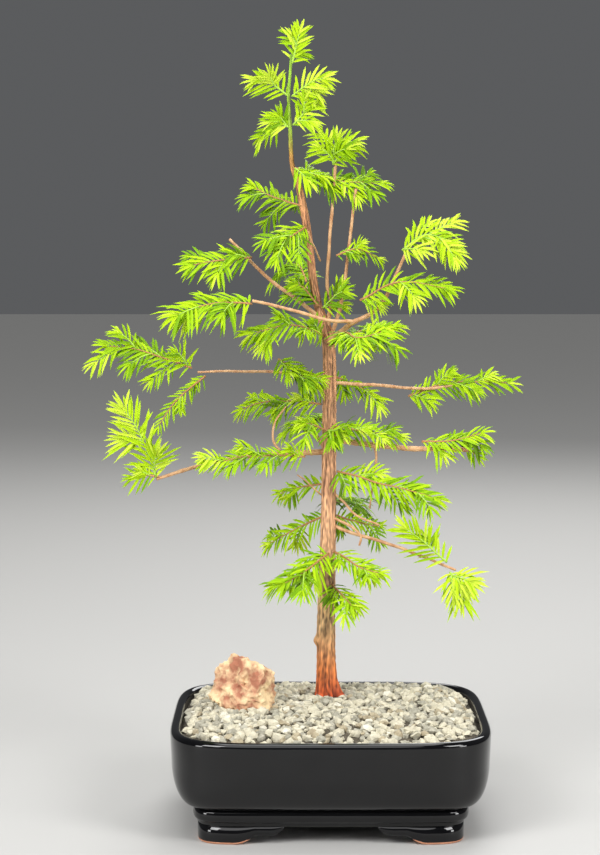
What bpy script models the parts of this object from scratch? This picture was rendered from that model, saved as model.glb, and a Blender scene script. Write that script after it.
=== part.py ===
"""Dawn redwood bonsai in a footed rectangular pot, with a stone on the gravel.

Every size below is in millimetres and is turned to metres as a mesh is made. X runs to
the right of the pot, Y to its back and Z up. Heights count from the flat undersides of
the feet, and widths from the pot's upright centre line, until the last step moves the
whole plant so that the middle of its box stands over the origin.
"""

import math
from dataclasses import dataclass

import bpy
import numpy as np
from mathutils import Vector

METRES = 0.001
GAP = 0.35

# The pot: a rounded rectangle, from the lip down to the belt and the apron.
RIM_WIDTH = 201.0
RIM_DEPTH = 180.0
RIM_HEIGHT = 67.0
RIM_SQUARENESS = 5.0
BELT_SQUARENESS = 10.0
BELT_HEIGHT = 18.0
LIP_WIDTH = 6.5
APRON_HEIGHT = 11.5
FLOOR_TOP = 19.0
POT_SIDES = 36
BOWL_HEIGHTS = (25.0, 34.0, 48.0)
BOWL_TAPER = 16.0
DRAIN_RADIUS = 7.0
DRAIN_SIDES = 16
DRAIN_SPACING = 70.0

# The feet: one at each corner, highest at the middle of each side.
FOOT_REACH = 50.0
FOOT_WALL = 9.0
FOOT_INSET = 17.5
FOOT_FLAT = 19.0
FOOT_STEP = 5.5
FOOT_STEP_START = 32.0
FOOT_STEP_END = 41.0
FOOT_ARCH_EDGE = 1.2
FOOT_STATIONS = 15
OUTLINE_STEPS = 720

# The gravel bed: domed, with its crown above the rim.
BED_EDGE = 62.5
BED_CROWN = 71.9
BED_FLATNESS = 5
BED_RINGS = 5

# The stone, left of the trunk.
STONE_PLACE = (-55.0, -1.0)
STONE_SIZE = (44.0, 36.0, 37.0)
STONE_SUNK = 6.0
STONE_SHOULDER = 0.42
STONE_FLARE = 0.45
STONE_LUMPS = (0.16, 0.13, 0.10, 0.07, 0.05, 0.05)
STONE_FACETS = 3
STONE_SEED = 5

# The trunk and its leader.
TRUNK_FOOT = BED_CROWN + GAP
TRUNK_SIDES = 14
TRUNK_STATIONS = 30
# Each root: its heading in degrees, how far it reaches and how wide it is.
ROOTS = ((-12.0, 6.8, 20.0), (205.0, 3.0, 26.0), (95.0, 3.6, 30.0), (285.0, 1.4, 24.0))
ROOT_RISE = 8.0

LIMB_SIDES = 7
LIMB_STATIONS = 8
MASS_SIDES = 8
MASS_STATIONS = 6
MASS_UNEVENNESS = 0.13


@dataclass(frozen=True)
class Limb:
    """One tapering limb: a smooth line through its points, and its end radii."""

    name: str
    carrier: str
    base_radius: float
    tip_radius: float
    points: tuple


@dataclass(frozen=True)
class Mass:
    """One mass of foliage: its near end, middle and far end, and its size across."""

    name: str
    near: tuple
    middle: tuple
    far: tuple
    tall: float
    deep: float


# Each station of the trunk: its place across, its place in depth, its height and radius.
TRUNK_LINE = (
    (-1.5, 25.0, TRUNK_FOOT, 6.2),
    (-2.0, 25.0, 80.0, 6.1),
    (-2.1, 25.0, 115.0, 5.9),
    (-1.5, 24.6, 148.0, 5.4),
    (-0.6, 24.4, 190.0, 4.9),
    (-0.3, 24.7, 240.0, 4.6),
    (-0.1, 25.0, 291.0, 4.3),
    (-2.3, 25.2, 311.0, 3.9),
    (-7.6, 25.4, 327.0, 2.9),
    (-11.1, 25.2, 346.0, 2.6),
    (-12.6, 24.8, 360.0, 2.6),
    (-16.0, 24.4, 384.0, 2.6),
    (-20.2, 24.0, 404.0, 2.1),
    (-24.3, 23.8, 418.0, 1.5),
    (-25.6, 23.8, 445.0, 1.1),
    (-26.5, 24.0, 460.0, 1.0),
    (-25.6, 24.0, 471.0, 0.9),
    (-24.6, 24.0, 486.0, 0.8),
)

LIMBS = (
    Limb(
        "stem_second", "trunk", 2.0, 1.4,
        ((-1, 24, 311), (0.6, 21, 331), (-1.6, 20, 344), (3.6, 20, 418)),
    ),
    Limb(
        "stem_third", "trunk", 1.8, 1.3,
        ((0, 24, 303), (7.6, 19, 330), (10.8, 19, 352), (16.6, 20, 401)),
    ),
    Limb(
        "bough_left_stub", "trunk", 1.8, 0.9,
        ((-3, 25, 316), (-21, 20, 330.5), (-41.5, 15, 346), (-63.5, 10, 369)),
    ),
    Limb(
        "bough_left_light", "bough_right_upper", 1.5, 1.0,
        ((15, -5, 317), (-4, -9, 319), (-24, -13, 325), (-49, -16, 331)),
    ),
    Limb(
        "bough_left_long", "trunk", 1.2, 0.9,
        ((0, 25, 280), (-20, 28, 282), (-50, 34, 283.5), (-86, 40, 282.5)),
    ),
    Limb(
        "bough_left_low", "trunk", 2.0, 1.0,
        ((0, 25, 232), (-25, 19, 231), (-65, 8, 229), (-110, -6, 218)),
    ),
    Limb(
        "bough_right_upper", "trunk", 1.9, 0.9,
        ((-1, 22, 303), (13, -4, 316), (31.5, -10, 328), (46.5, -16, 360)),
    ),
    Limb(
        "bough_right_long", "trunk", 1.2, 0.8,
        ((0, 24, 277), (25, 30, 275), (60, 38, 272), (90, 45, 274)),
    ),
    Limb(
        "bough_right_thick", "trunk", 2.1, 1.5,
        ((0, 25, 241.5), (15, 22, 238.4), (50, 16, 235), (88.5, 10, 234.8)),
    ),
    Limb(
        "bough_right_low", "trunk", 1.3, 0.8,
        ((0, 25, 185), (14, 19, 180), (45, 5, 172), (79, -16, 161)),
    ),
    Limb(
        "bough_back_upper", "trunk", 1.6, 1.0,
        ((-1, 25, 305), (-6, 42, 323), (-16, 66, 337), (-20, 82, 341)),
    ),
    Limb(
        "bough_back_middle", "trunk", 1.7, 1.0,
        ((0, 25, 222), (-2, 50, 229), (-8, 76, 237), (-15, 92, 239)),
    ),
)

MASSES = (
    Mass("mass_top_tuft", (-25, 24, 479), (-21, 24, 493), (-17, 23, 510), 22, 20),
    Mass("mass_leader_high", (-58, 20, 468), (-26, 24, 468), (7, 28, 468), 18, 22),
    Mass("mass_leader_low", (-46, 20, 440), (-24, 24, 443), (-1, 28, 455), 22, 24),
    Mass("mass_crest_up", (2, 18, 414.5), (3, 15, 428), (8, 12, 442), 31, 28),
    Mass("mass_crest_tier", (-25, 12, 417), (0, 22, 405), (43, 34, 404), 18, 32),
    Mass("mass_leader_left", (-16, 21, 390), (-37, 36, 396), (-56, 44, 407), 24, 28),
    Mass("mass_leader_front", (-14.5, 23.5, 378), (-25, 6, 370), (-42, 0, 359), 22, 38),
    Mass("mass_fork_collar", (-29, 14, 343), (-5, -2, 335), (17, 16, 337), 19, 28),
    Mass("mass_stem_spray", (2, 14, 358), (18, 11, 363), (37, 12, 353), 8, 18),
    Mass("mass_left_stub", (-48, 10, 357), (-73, 2, 356), (-98, -6, 350), 20, 32),
    Mass("mass_left_drooping", (-46, -14, 329), (-76, -26, 329), (-107, -32, 317), 28, 38),
    Mass("mass_left_under", (-1.5, 21.5, 306), (-25, -4, 315), (-60, -8, 307), 17, 30),
    Mass("mass_left_long", (-86, 41, 284), (-121, 42, 295), (-157, 46, 301), 32, 34),
    Mass("mass_left_hanging", (-79, 39, 282), (-98, 34, 266), (-115, 28, 243), 10, 14),
    Mass("mass_left_shoot", (-109, -7, 215), (-121, -9, 248), (-140, -10, 275), 36, 24),
    Mass("mass_left_low", (-12, 10, 231), (-51, 0, 231), (-88, -6, 226), 20, 32),
    Mass("mass_left_riser", (-1, 23, 263), (-38, 36, 263), (-65, 44, 254), 16, 24),
    Mass("mass_left_tier", (-1, 23, 211), (-22, 36, 206), (-38, 46, 197), 13, 22),
    Mass("mass_left_lowest", (-1, 23, 191), (-24, 38, 178), (-46, 50, 163), 20, 26),
    Mass("mass_lowest_front", (1, 16, 167), (-18, -8, 158), (-39, -16, 148), 24, 34),
    Mass("mass_front_fan", (8, 3, 311), (18, -34, 309), (50, -24, 318), 20, 42),
    Mass("mass_trunk_upper", (-34, 16, 294), (-19, 11, 283), (-2, 14, 270), 20, 28),
    Mass("mass_trunk_front", (-24, 6, 251), (-4, 4, 252), (9, 8, 243), 16, 36),
    Mass("mass_right_upper", (43, -16, 361), (60, -20, 372), (84, -24, 363), 32, 34),
    Mass("mass_right_lower", (15, -8, 330), (44, -18, 342), (82, -30, 337), 20, 32),
    Mass("mass_right_long", (48, 38, 266), (84, 44, 276), (129, 50, 274), 20, 32),
    Mass("mass_right_near", (1, 23, 281), (21, 40, 273), (38, 50, 261), 17, 28),
    Mass("mass_right_middle", (1, 22, 249), (30, 16, 245), (53, 12, 243), 13, 26),
    Mass("mass_right_end", (57, 13, 240), (80, 10, 241), (107, 2, 249), 19, 28),
    Mass("mass_right_fork", (1, 23, 220), (41, 4, 212), (76, -8, 202), 23, 34),
    Mass("mass_right_inner", (1, 23, 192), (24, 40, 182), (41, 54, 177), 15, 26),
    Mass("mass_right_shoot", (75, -14, 164), (57, -14, 180), (38, -14, 196), 24, 22),
    Mass("mass_right_tuft", (75, -14, 160), (80, -21, 155), (86, -30, 145), 28, 30),
    Mass("mass_right_lowest", (1, 23, 168), (20, 2, 160), (40, -8, 156), 17, 26),
    Mass("mass_lowest_fan", (0, 23, 147), (11, -2, 139), (18, -14, 131), 17, 26),
    Mass("mass_back_upper", (-14, 62, 340), (-22, 84, 353), (-34, 112, 343), 24, 44),
    Mass("mass_back_right", (2, 28, 303), (24, 64, 308), (38, 96, 299), 22, 44),
    Mass("mass_back_middle", (2, 60, 249), (-14, 92, 247), (-28, 120, 236), 24, 46),
    Mass("mass_back_low", (2, 28, 199), (14, 60, 194), (24, 92, 182), 22, 44),
)

FINISHES = {
    "glaze": ((0.012, 0.012, 0.014), 0.08),
    "gravel": ((0.56, 0.53, 0.44), 0.85),
    "stone": ((0.58, 0.34, 0.22), 0.80),
    "bark": ((0.40, 0.19, 0.10), 0.75),
    "twig": ((0.52, 0.30, 0.14), 0.65),
    "foliage": ((0.26, 0.62, 0.03), 0.50),
}


def rounded_outline(width, depth, squareness, sides):
    """Points round a superellipse: each coordinate is a power of a cosine or sine."""
    turn = np.linspace(0.0, 2.0 * math.pi, sides, endpoint=False)
    power = 2.0 / squareness
    across = np.sign(np.cos(turn)) * np.abs(np.cos(turn)) ** power
    along = np.sign(np.sin(turn)) * np.abs(np.sin(turn)) ** power
    return np.stack([0.5 * width * across, 0.5 * depth * along], axis=1)


def smooth_line(points, count):
    """Points evenly spread along a smooth curve through the given points."""
    points = np.array(points, float)
    ends = np.concatenate([[2 * points[0] - points[1]], points, [2 * points[-1] - points[-2]]])
    place = np.linspace(0.0, len(points) - 1.0, count)
    start = np.minimum(place.astype(int), len(points) - 2)
    t = (place - start)[:, None]
    before, first, second, after = (ends[start + k] for k in range(4))
    slope_in = 0.5 * (second - before)
    slope_out = 0.5 * (after - first)
    return (
        first * (2 * t**3 - 3 * t**2 + 1)
        + slope_in * (t**3 - 2 * t**2 + t)
        + second * (3 * t**2 - 2 * t**3)
        + slope_out * (t**3 - t**2)
    )


def frames_along(line):
    """The two directions across a line at each of its points: one level, one upright."""
    run = np.gradient(line, axis=0)
    run /= np.linalg.norm(run, axis=1)[:, None]
    level = np.stack([-run[:, 1], run[:, 0], np.zeros(len(run))], axis=1)
    steep = np.linalg.norm(level, axis=1) < 0.35
    level[steep] = (1.0, 0.0, 0.0)
    level -= run * np.sum(level * run, axis=1)[:, None]
    level /= np.linalg.norm(level, axis=1)[:, None]
    return level, np.cross(run, level)


def new_object(name, points, faces, finish):
    """One named object from points in millimetres, with its own material."""
    mesh = bpy.data.meshes.new(name)
    mesh.from_pydata([Vector(p) * METRES for p in points], [], [tuple(f) for f in faces])
    mesh.validate()
    solid = bpy.data.objects.new(name, mesh)
    bpy.context.scene.collection.objects.link(solid)
    colour, roughness = FINISHES[finish]
    material = bpy.data.materials.new(name)
    material.use_nodes = True
    shader = material.node_tree.nodes["Principled BSDF"]
    shader.inputs["Base Color"].default_value = (*colour, 1.0)
    shader.inputs["Roughness"].default_value = roughness
    mesh.materials.append(material)
    mesh.shade_smooth()
    mesh.set_sharp_from_angle(angle=math.radians(45.0))
    return solid


def skinned(name, rings, finish, first=None, last=None):
    """A closed solid over a stack of rings, ended by two points or by flat caps."""
    stations, sides = rings.shape[:2]
    points = rings.reshape(-1, 3).tolist()
    faces = []
    for j in range(stations - 1):
        for i in range(sides):
            k = (i + 1) % sides
            faces.append((j * sides + i, j * sides + k, (j + 1) * sides + k, (j + 1) * sides + i))
    for ring, pole in ((0, first), (stations - 1, last)):
        around = [ring * sides + i for i in range(sides)]
        if ring == 0:
            around.reverse()
        if pole is None:
            faces.append(around)
            continue
        points.append(list(pole))
        top = len(points) - 1
        faces += [(around[i], around[(i + 1) % sides], top) for i in range(sides)]
    return new_object(name, points, faces, finish)


def as_cutter(tool):
    """Marks an object as a helper that only cuts others."""
    tool.hide_render = True
    tool.display_type = "WIRE"
    return tool


def cut(solid, tool):
    """Takes one object's shape out of another."""
    boolean = solid.modifiers.new(tool.name, "BOOLEAN")
    boolean.operation = "DIFFERENCE"
    boolean.solver = "EXACT"
    boolean.object = tool


def box_of(solid, margin=0.0):
    """The lowest and highest corners of an object's own mesh, in metres."""
    corners = np.array([vertex.co for vertex in solid.data.vertices])
    return corners.min(axis=0) - margin, corners.max(axis=0) + margin


def boxes_meet(one, other):
    """Whether the boxes round two objects share any space."""
    (low, high), (other_low, other_high) = box_of(one, GAP * METRES), box_of(other)
    return bool((low < other_high).all() and (other_low < high).all())


def pot_ring(inset, height, squareness):
    """One level ring of the pot, this far inside the rim's outline."""
    flat = rounded_outline(RIM_WIDTH - 2 * inset, RIM_DEPTH - 2 * inset, squareness, POT_SIDES)
    return np.column_stack([flat, np.full(POT_SIDES, height)])


def wall_inset(height):
    """How far the inner wall stands inside the rim's outline at a height."""
    down = np.clip((BED_EDGE - height) / (BED_EDGE - FLOOR_TOP), 0.0, 1.0)
    return LIP_WIDTH + 1.0 + BOWL_TAPER * down**4


def build_pot():
    """The bowl: lip, bowed wall, belt and apron, hollow inside, drained by two holes."""
    wall = (
        (24.0, APRON_HEIGHT, 1.0),
        (17.0, APRON_HEIGHT, 1.0),
        (16.6, BELT_HEIGHT - 4.6, 1.0),
        (15.4, BELT_HEIGHT - 3.6, 1.0),
        (14.6, BELT_HEIGHT, 1.0),
        (15.4, BELT_HEIGHT + 3.4, 1.0),
        (15.9, BELT_HEIGHT + 4.2, 1.0),
        (10.2, BELT_HEIGHT + 6.2, 0.8),
        (4.9, BELT_HEIGHT + 10.4, 0.5),
        (1.7, BELT_HEIGHT + 17.0, 0.2),
        (0.4, BELT_HEIGHT + 30.0, 0.0),
        (0.0, RIM_HEIGHT - 5.0, 0.0),
        (0.4, RIM_HEIGHT - 1.8, 0.0),
        (2.2, RIM_HEIGHT, 0.0),
        (LIP_WIDTH - 2.0, RIM_HEIGHT, 0.0),
        (LIP_WIDTH, RIM_HEIGHT - 2.0, 0.0),
    )
    inner_heights = (BED_EDGE, *reversed(BOWL_HEIGHTS), FLOOR_TOP)
    rings = []
    for inset, height, low in wall:
        squareness = RIM_SQUARENESS + low * (BELT_SQUARENESS - RIM_SQUARENESS)
        rings.append(pot_ring(inset, height, squareness))
    rings += [pot_ring(wall_inset(z), z, RIM_SQUARENESS) for z in inner_heights]
    pot = skinned("pot_body", np.array(rings), "glaze")
    for side in (-0.5, 0.5):
        bpy.ops.mesh.primitive_cylinder_add(
            vertices=DRAIN_SIDES,
            radius=DRAIN_RADIUS * METRES,
            depth=2 * FLOOR_TOP * METRES,
            location=Vector((side * DRAIN_SPACING, 0.0, 0.5 * FLOOR_TOP)) * METRES,
        )
        drain = bpy.context.object
        drain.name = "drain_left" if side < 0 else "drain_right"
        cut(pot, as_cutter(drain))
    return pot


def foot_lift(along):
    """Height of a foot's underside, this far from the corner: flat, a step, an arch."""
    first = np.clip((along - FOOT_FLAT) / (FOOT_STEP_START - FOOT_FLAT), 0.0, 1.0)
    second = np.clip((along - FOOT_STEP_END) / (FOOT_REACH - FOOT_STEP_END), 0.0, 1.0)
    rest = APRON_HEIGHT - GAP - FOOT_ARCH_EDGE - FOOT_STEP
    return FOOT_STEP * first**2 + rest * second**2


def build_foot(name, side, end):
    """One corner foot: a short wall bent round the corner, cut to a cloud outline."""
    width, depth = RIM_WIDTH - 2 * FOOT_INSET, RIM_DEPTH - 2 * FOOT_INSET
    outline = rounded_outline(width, depth, BELT_SQUARENESS, 4 * OUTLINE_STEPS)
    outline = outline[: OUTLINE_STEPS + 1]
    walked = np.concatenate([[0.0], np.cumsum(np.linalg.norm(np.diff(outline, axis=0), axis=1))])
    diagonal = np.abs(outline[:, 0] - outline[:, 1] - 0.5 * (RIM_WIDTH - RIM_DEPTH))
    corner = walked[int(np.argmin(diagonal))]
    along = np.linspace(-FOOT_REACH, FOOT_REACH, FOOT_STATIONS)
    outer = np.column_stack([np.interp(corner + along, walked, outline[:, k]) for k in (0, 1)])
    run = np.gradient(outer, axis=0)
    run /= np.linalg.norm(run, axis=1)[:, None]
    inward = np.column_stack([-run[:, 1], run[:, 0]])
    inner = outer + FOOT_WALL * inward
    lift = foot_lift(np.abs(along))
    top = np.full(FOOT_STATIONS, APRON_HEIGHT - GAP)
    section = (
        (outer, lift),
        (inner, lift),
        (inner, top),
        (outer, top),
    )
    rings = np.stack([np.column_stack([flat, high]) for flat, high in section], axis=1)
    rings[:, :, 0] *= side
    rings[:, :, 1] *= end
    if side * end < 0:
        rings = rings[::-1]
    return skinned(name, rings, "glaze")


def bed_height(x, y):
    """Height of the gravel: a flat-topped dome that falls away near the pot's wall."""
    across = np.abs(x) / (0.5 * RIM_WIDTH - LIP_WIDTH)
    along = np.abs(y) / (0.5 * RIM_DEPTH - LIP_WIDTH)
    dome = np.clip(1.0 - across**BED_FLATNESS, 0.0, 1.0)
    dome *= np.clip(1.0 - along**BED_FLATNESS, 0.0, 1.0)
    return BED_EDGE - 0.3 + (BED_CROWN - BED_EDGE + 0.3) * dome


def build_bed():
    """The soil and gravel that fill the pot, up to the domed surface."""
    rings = []
    for height in (FLOOR_TOP + GAP, *BOWL_HEIGHTS):
        rings.append(pot_ring(wall_inset(height) + GAP, height, RIM_SQUARENESS))
    for step in range(BED_RINGS):
        share = 1.0 - (step / BED_RINGS) ** 1.3
        ring = pot_ring(wall_inset(BED_EDGE) + GAP, 0.0, RIM_SQUARENESS)
        ring[:, :2] *= share
        ring[:, 2] = bed_height(ring[:, 0], ring[:, 1])
        rings.append(ring)
    return skinned("gravel_bed", np.array(rings), "gravel", last=(0.0, 0.0, BED_CROWN))


def build_stone():
    """A knobbly stone whose underside follows the gravel that it lies on."""
    bpy.ops.mesh.primitive_ico_sphere_add(subdivisions=STONE_FACETS, radius=1.0)
    ball = bpy.context.object
    points = np.array([vertex.co for vertex in ball.data.vertices])
    faces = [tuple(face.vertices) for face in ball.data.polygons]
    bpy.data.objects.remove(ball)
    draw = np.random.default_rng(STONE_SEED)
    swell = np.ones(len(points))
    for share in STONE_LUMPS:
        way = draw.normal(size=3) * 0.9 / share**0.35
        swell += share * np.sin(points @ way + draw.uniform(0.0, 6.0))
    points = points * swell[:, None]
    points[:, :2] *= 1.0 + STONE_FLARE * np.clip(-points[:, 2:], 0.0, 1.0)
    left = np.clip(-0.25 - points[:, 0], 0.0, 0.5) / 0.5
    points[:, 2] -= STONE_SHOULDER * left * np.clip(points[:, 2], 0.0, 1.0)
    low, high = points.min(axis=0), points.max(axis=0)
    points = (points - 0.5 * (low + high)) / (high - low) * np.array(STONE_SIZE)
    points += (*STONE_PLACE, BED_CROWN + 0.5 * STONE_SIZE[2] - STONE_SUNK)
    seat = bed_height(points[:, 0], points[:, 1]) + 1.5 * GAP
    points[:, 2] = np.maximum(points[:, 2], seat)
    return new_object("stone", points, faces, "stone")


def trunk_rings(grow):
    """Rings up the trunk: round, with the roots' lobes spreading near the ground."""
    line = smooth_line([station[:3] for station in TRUNK_LINE], TRUNK_STATIONS)
    radius = np.interp(line[:, 2], [s[2] for s in TRUNK_LINE], [s[3] for s in TRUNK_LINE])
    turn = np.linspace(0.0, 2.0 * math.pi, TRUNK_SIDES, endpoint=False)
    rise = np.exp(-(line[:, 2] - TRUNK_FOOT) / ROOT_RISE)
    spread = np.zeros((len(line), TRUNK_SIDES))
    for heading, reach, width in ROOTS:
        off = (np.degrees(turn) - heading + 180.0) % 360.0 - 180.0
        spread += reach * rise[:, None] * np.exp(-((off / width) ** 2))[None, :]
    size = radius[:, None] + spread + grow
    rings = np.repeat(line[:, None, :], TRUNK_SIDES, axis=1)
    rings[:, :, 0] += size * np.cos(turn)
    rings[:, :, 1] += size * np.sin(turn)
    return rings


def build_trunk(name, grow=0.0):
    """The whole trunk, from its flat cut on the gravel to the tip of the leader."""
    rings = trunk_rings(grow)
    tip = rings[-1].mean(axis=0) + (0.0, 0.0, 1.0 + grow)
    return skinned(name, rings, "bark", last=tip)


def build_limb(limb, name, grow=0.0):
    """One bough or stem: a round tube that tapers along its smooth line."""
    line = smooth_line(limb.points, LIMB_STATIONS)
    run = np.diff(line, axis=0)
    line[-1] += grow * run[-1] / np.linalg.norm(run[-1])
    level, upright = frames_along(line)
    radius = np.linspace(limb.base_radius, limb.tip_radius, len(line)) + grow
    turn = np.linspace(0.0, 2.0 * math.pi, LIMB_SIDES, endpoint=False)
    rings = (
        line[:, None, :]
        + radius[:, None, None] * np.cos(turn)[None, :, None] * level[:, None, :]
        + radius[:, None, None] * np.sin(turn)[None, :, None] * upright[:, None, :]
    )
    return skinned(name, rings, "twig")


def mass_rings(mass, seed):
    """Rings along a mass: flattened rounds, full in the middle, each one uneven."""
    line = smooth_line((mass.near, mass.middle, mass.far), MASS_STATIONS + 2)
    level, upright = frames_along(line)
    place = np.linspace(0.0, 1.0, MASS_STATIONS + 2)
    full = np.sin(math.pi * (0.03 + 0.93 * place**1.1)) ** 0.7
    draw = np.random.default_rng(seed)
    turn = np.linspace(0.0, 2.0 * math.pi, MASS_SIDES, endpoint=False)
    lumps = 1.0 + MASS_UNEVENNESS * draw.uniform(-1.0, 1.0, (len(line), MASS_SIDES))
    lumps *= 1.0 + 0.6 * MASS_UNEVENNESS * draw.uniform(-1.0, 1.0, (len(line), 1))
    size = full[:, None] * lumps
    rings = (
        line[:, None, :]
        + (0.5 * mass.deep * size * np.cos(turn))[:, :, None] * level[:, None, :]
        + (0.5 * mass.tall * size * np.sin(turn))[:, :, None] * upright[:, None, :]
    )
    return rings[1:-1], line[0], line[-1]


def build_masses(cutters):
    """All masses, each cut round the trunk and the limbs that run through it."""
    masses = []
    for seed, mass in enumerate(MASSES):
        rings, first, last = mass_rings(mass, seed)
        solid = skinned(mass.name, rings, "foliage", first, last)
        for tool in cutters:
            if boxes_meet(solid, tool):
                cut(solid, tool)
        masses.append(solid)
    return masses


def centre_on_origin(solids):
    """Moves everything so that the box's middle is over the origin and its foot at 0."""
    bpy.context.view_layer.update()
    graph = bpy.context.evaluated_depsgraph_get()
    corners = []
    for solid in solids:
        shape = solid.evaluated_get(graph).to_mesh()
        corners += [vertex.co.copy() for vertex in shape.vertices]
        solid.evaluated_get(graph).to_mesh_clear()
    corners = np.array(corners)
    middle = 0.5 * (corners.min(axis=0) + corners.max(axis=0))
    shift = Vector((-middle[0], -middle[1], -corners[:, 2].min()))
    for thing in bpy.data.objects:
        thing.location = thing.location + shift


def main():
    for leftover in list(bpy.data.objects):
        bpy.data.objects.remove(leftover)
    solids = [build_pot(), build_bed(), build_stone()]
    for end_name, end in (("front", -1), ("back", 1)):
        for side_name, side in (("left", -1), ("right", 1)):
            solids.append(build_foot(f"foot_{end_name}_{side_name}", side, end))
    solids.append(build_trunk("trunk"))
    cutters = {"trunk": as_cutter(build_trunk("trunk_clearance", GAP))}
    for limb in LIMBS:
        cutters[limb.name] = as_cutter(build_limb(limb, limb.name + "_clearance", GAP))
    for limb in LIMBS:
        solid = build_limb(limb, limb.name)
        cut(solid, cutters[limb.carrier])
        solids.append(solid)
    solids += build_masses(list(cutters.values()))
    centre_on_origin(solids)


main()
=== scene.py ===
"""Looks of a dawn redwood bonsai in a footed pot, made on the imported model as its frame.

Sizes are in millimetres, from the middle of the pot on the level of its feet: X runs to
the right, Y to the back and Z up. They are turned to metres as each mesh is made.
"""

import logging
import math
from dataclasses import dataclass, field
from enum import Enum
from itertools import combinations

import bpy
import numpy as np
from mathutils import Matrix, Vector


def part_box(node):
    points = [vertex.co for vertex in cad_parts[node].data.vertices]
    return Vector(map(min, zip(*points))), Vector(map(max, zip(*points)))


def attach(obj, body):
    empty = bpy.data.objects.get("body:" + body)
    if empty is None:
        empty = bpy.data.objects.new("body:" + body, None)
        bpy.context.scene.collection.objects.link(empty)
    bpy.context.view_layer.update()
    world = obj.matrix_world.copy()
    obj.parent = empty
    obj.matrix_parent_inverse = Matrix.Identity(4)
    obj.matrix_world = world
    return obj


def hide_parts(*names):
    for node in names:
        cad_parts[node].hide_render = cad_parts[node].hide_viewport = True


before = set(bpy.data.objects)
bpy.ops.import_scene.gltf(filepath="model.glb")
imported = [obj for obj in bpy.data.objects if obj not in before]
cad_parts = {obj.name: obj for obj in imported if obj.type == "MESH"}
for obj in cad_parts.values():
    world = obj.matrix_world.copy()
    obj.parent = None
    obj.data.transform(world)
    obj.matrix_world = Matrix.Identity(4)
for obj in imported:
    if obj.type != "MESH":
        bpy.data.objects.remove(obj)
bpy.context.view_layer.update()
LOG = logging.getLogger("bonsai")

METRES = 0.001
POT_LOW, POT_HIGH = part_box("pot_body")
POT_MIDDLE = np.array([*(0.5 * (POT_LOW + POT_HIGH)).xy, 0.0])

RIM_WIDTH = 201.0
RIM_DEPTH = 180.0
RIM_SQUARENESS = 5.0
BELT_SQUARENESS = 10.0
LIP_WIDTH = 6.5
FLOOR_TOP = 19.0
APRON_HEIGHT = 11.5
BED_EDGE = 62.5
BED_CROWN = 71.9
TRUNK_FOOT = 71.2
TRUNK_PLACE = np.array([-1.5, 25.0])
BED_SQUARENESS = 5
BUMP_DISTANCE = 0.0008
NOISE_DETAIL = 6.0
NOISE_MIDDLE = 0.5

Points = np.ndarray


class Green(Enum):
    """The greens of the needles, from deep to fresh: dealt at random they are the needles' own tones, and
    dealt darker to the masses at the back they are painted shade.
    """

    DEEP = 0
    LEAF = 1
    BRIGHT = 2
    FRESH = 3
    PALE = 4


class Grain(Enum):
    """The kinds of grain in the gravel."""

    CREAM = 0
    GREY = 1
    WHITE = 2
    TAN = 3


def random_waves(points: Points, seed: int, wavelength: float, waves: int = 18) -> Points:
    """Smooth uneven values, mostly from -1 to 1: added sine waves with random headings.

    Args:
        points: places, one per row, in millimetres.
        seed: fixes the headings and phases.
        wavelength: distance from crest to crest.
        waves: how many waves are added.

    Returns:
        One value per point.
    """
    draw = np.random.default_rng(seed)
    heading = draw.normal(size=(waves, points.shape[-1]))
    heading /= np.linalg.norm(heading, axis=1)[:, None]
    heading *= 2 * math.pi / (wavelength * draw.uniform(0.7, 1.4, (waves, 1)))
    phase = draw.uniform(0, 2 * math.pi, waves)
    return np.sin(points @ heading.T + phase).sum(axis=-1) / math.sqrt(2.0 * waves)


def smooth_line(points: tuple, count: int) -> Points:
    """A smooth curve through points, in cubic pieces whose slopes agree at the joins.

    Args:
        points: the places that the curve passes through.
        count: how many points come back.

    Returns:
        Points spread along the curve, one per row.
    """
    points = np.array(points, float)
    ends = np.concatenate([[2 * points[0] - points[1]], points, [2 * points[-1] - points[-2]]])
    place = np.linspace(0.0, len(points) - 1.0, count)
    start = np.minimum(place.astype(int), len(points) - 2)
    t = (place - start)[:, None]
    before, first, second, after = (ends[start + k] for k in range(4))
    return (
        first * (2 * t**3 - 3 * t**2 + 1)
        + 0.5 * (second - before) * (t**3 - 2 * t**2 + t)
        + second * (3 * t**2 - 2 * t**3)
        + 0.5 * (after - first) * (t**3 - t**2)
    )


def unit(vectors: Points) -> Points:
    """The vectors, each at length one."""
    return vectors / np.maximum(np.linalg.norm(vectors, axis=-1, keepdims=True), 1e-9)


def frames_along(line: Points, facing: Points) -> tuple[Points, Points, Points]:
    """The run of a line, the facing way made square to it, and the way across both.

    Args:
        line: points along the line.
        facing: the way that the flat side should look.

    Returns:
        Unit vectors forward, normal and side, one of each per point.
    """
    forward = unit(np.gradient(line, axis=0))
    normal = np.broadcast_to(facing, line.shape)
    normal = unit(normal - forward * np.sum(normal * forward, axis=1, keepdims=True))
    return forward, normal, np.cross(normal, forward)


def ring(sides: int) -> Points:
    """Angles spread evenly round a circle, starting at nought."""
    return np.linspace(0.0, 2.0 * math.pi, sides, endpoint=False)


def grid_faces(rows: int, columns: int) -> list:
    """Four-sided faces over a grid of points whose rows are closed rings."""
    row, column = np.meshgrid(np.arange(rows - 1), np.arange(columns), indexing="ij")
    here, right = row * columns + column, row * columns + (column + 1) % columns
    quads = np.stack([here, right, right + columns, here + columns], axis=-1)
    return quads.reshape(-1, 4).tolist()


def capped_faces(rows: int, columns: int) -> list:
    """The faces over a grid of rings, with one more face across each end."""
    last = (rows - 1) * columns
    return grid_faces(rows, columns) + [list(range(columns))[::-1], list(range(last, last + columns))]


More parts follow.
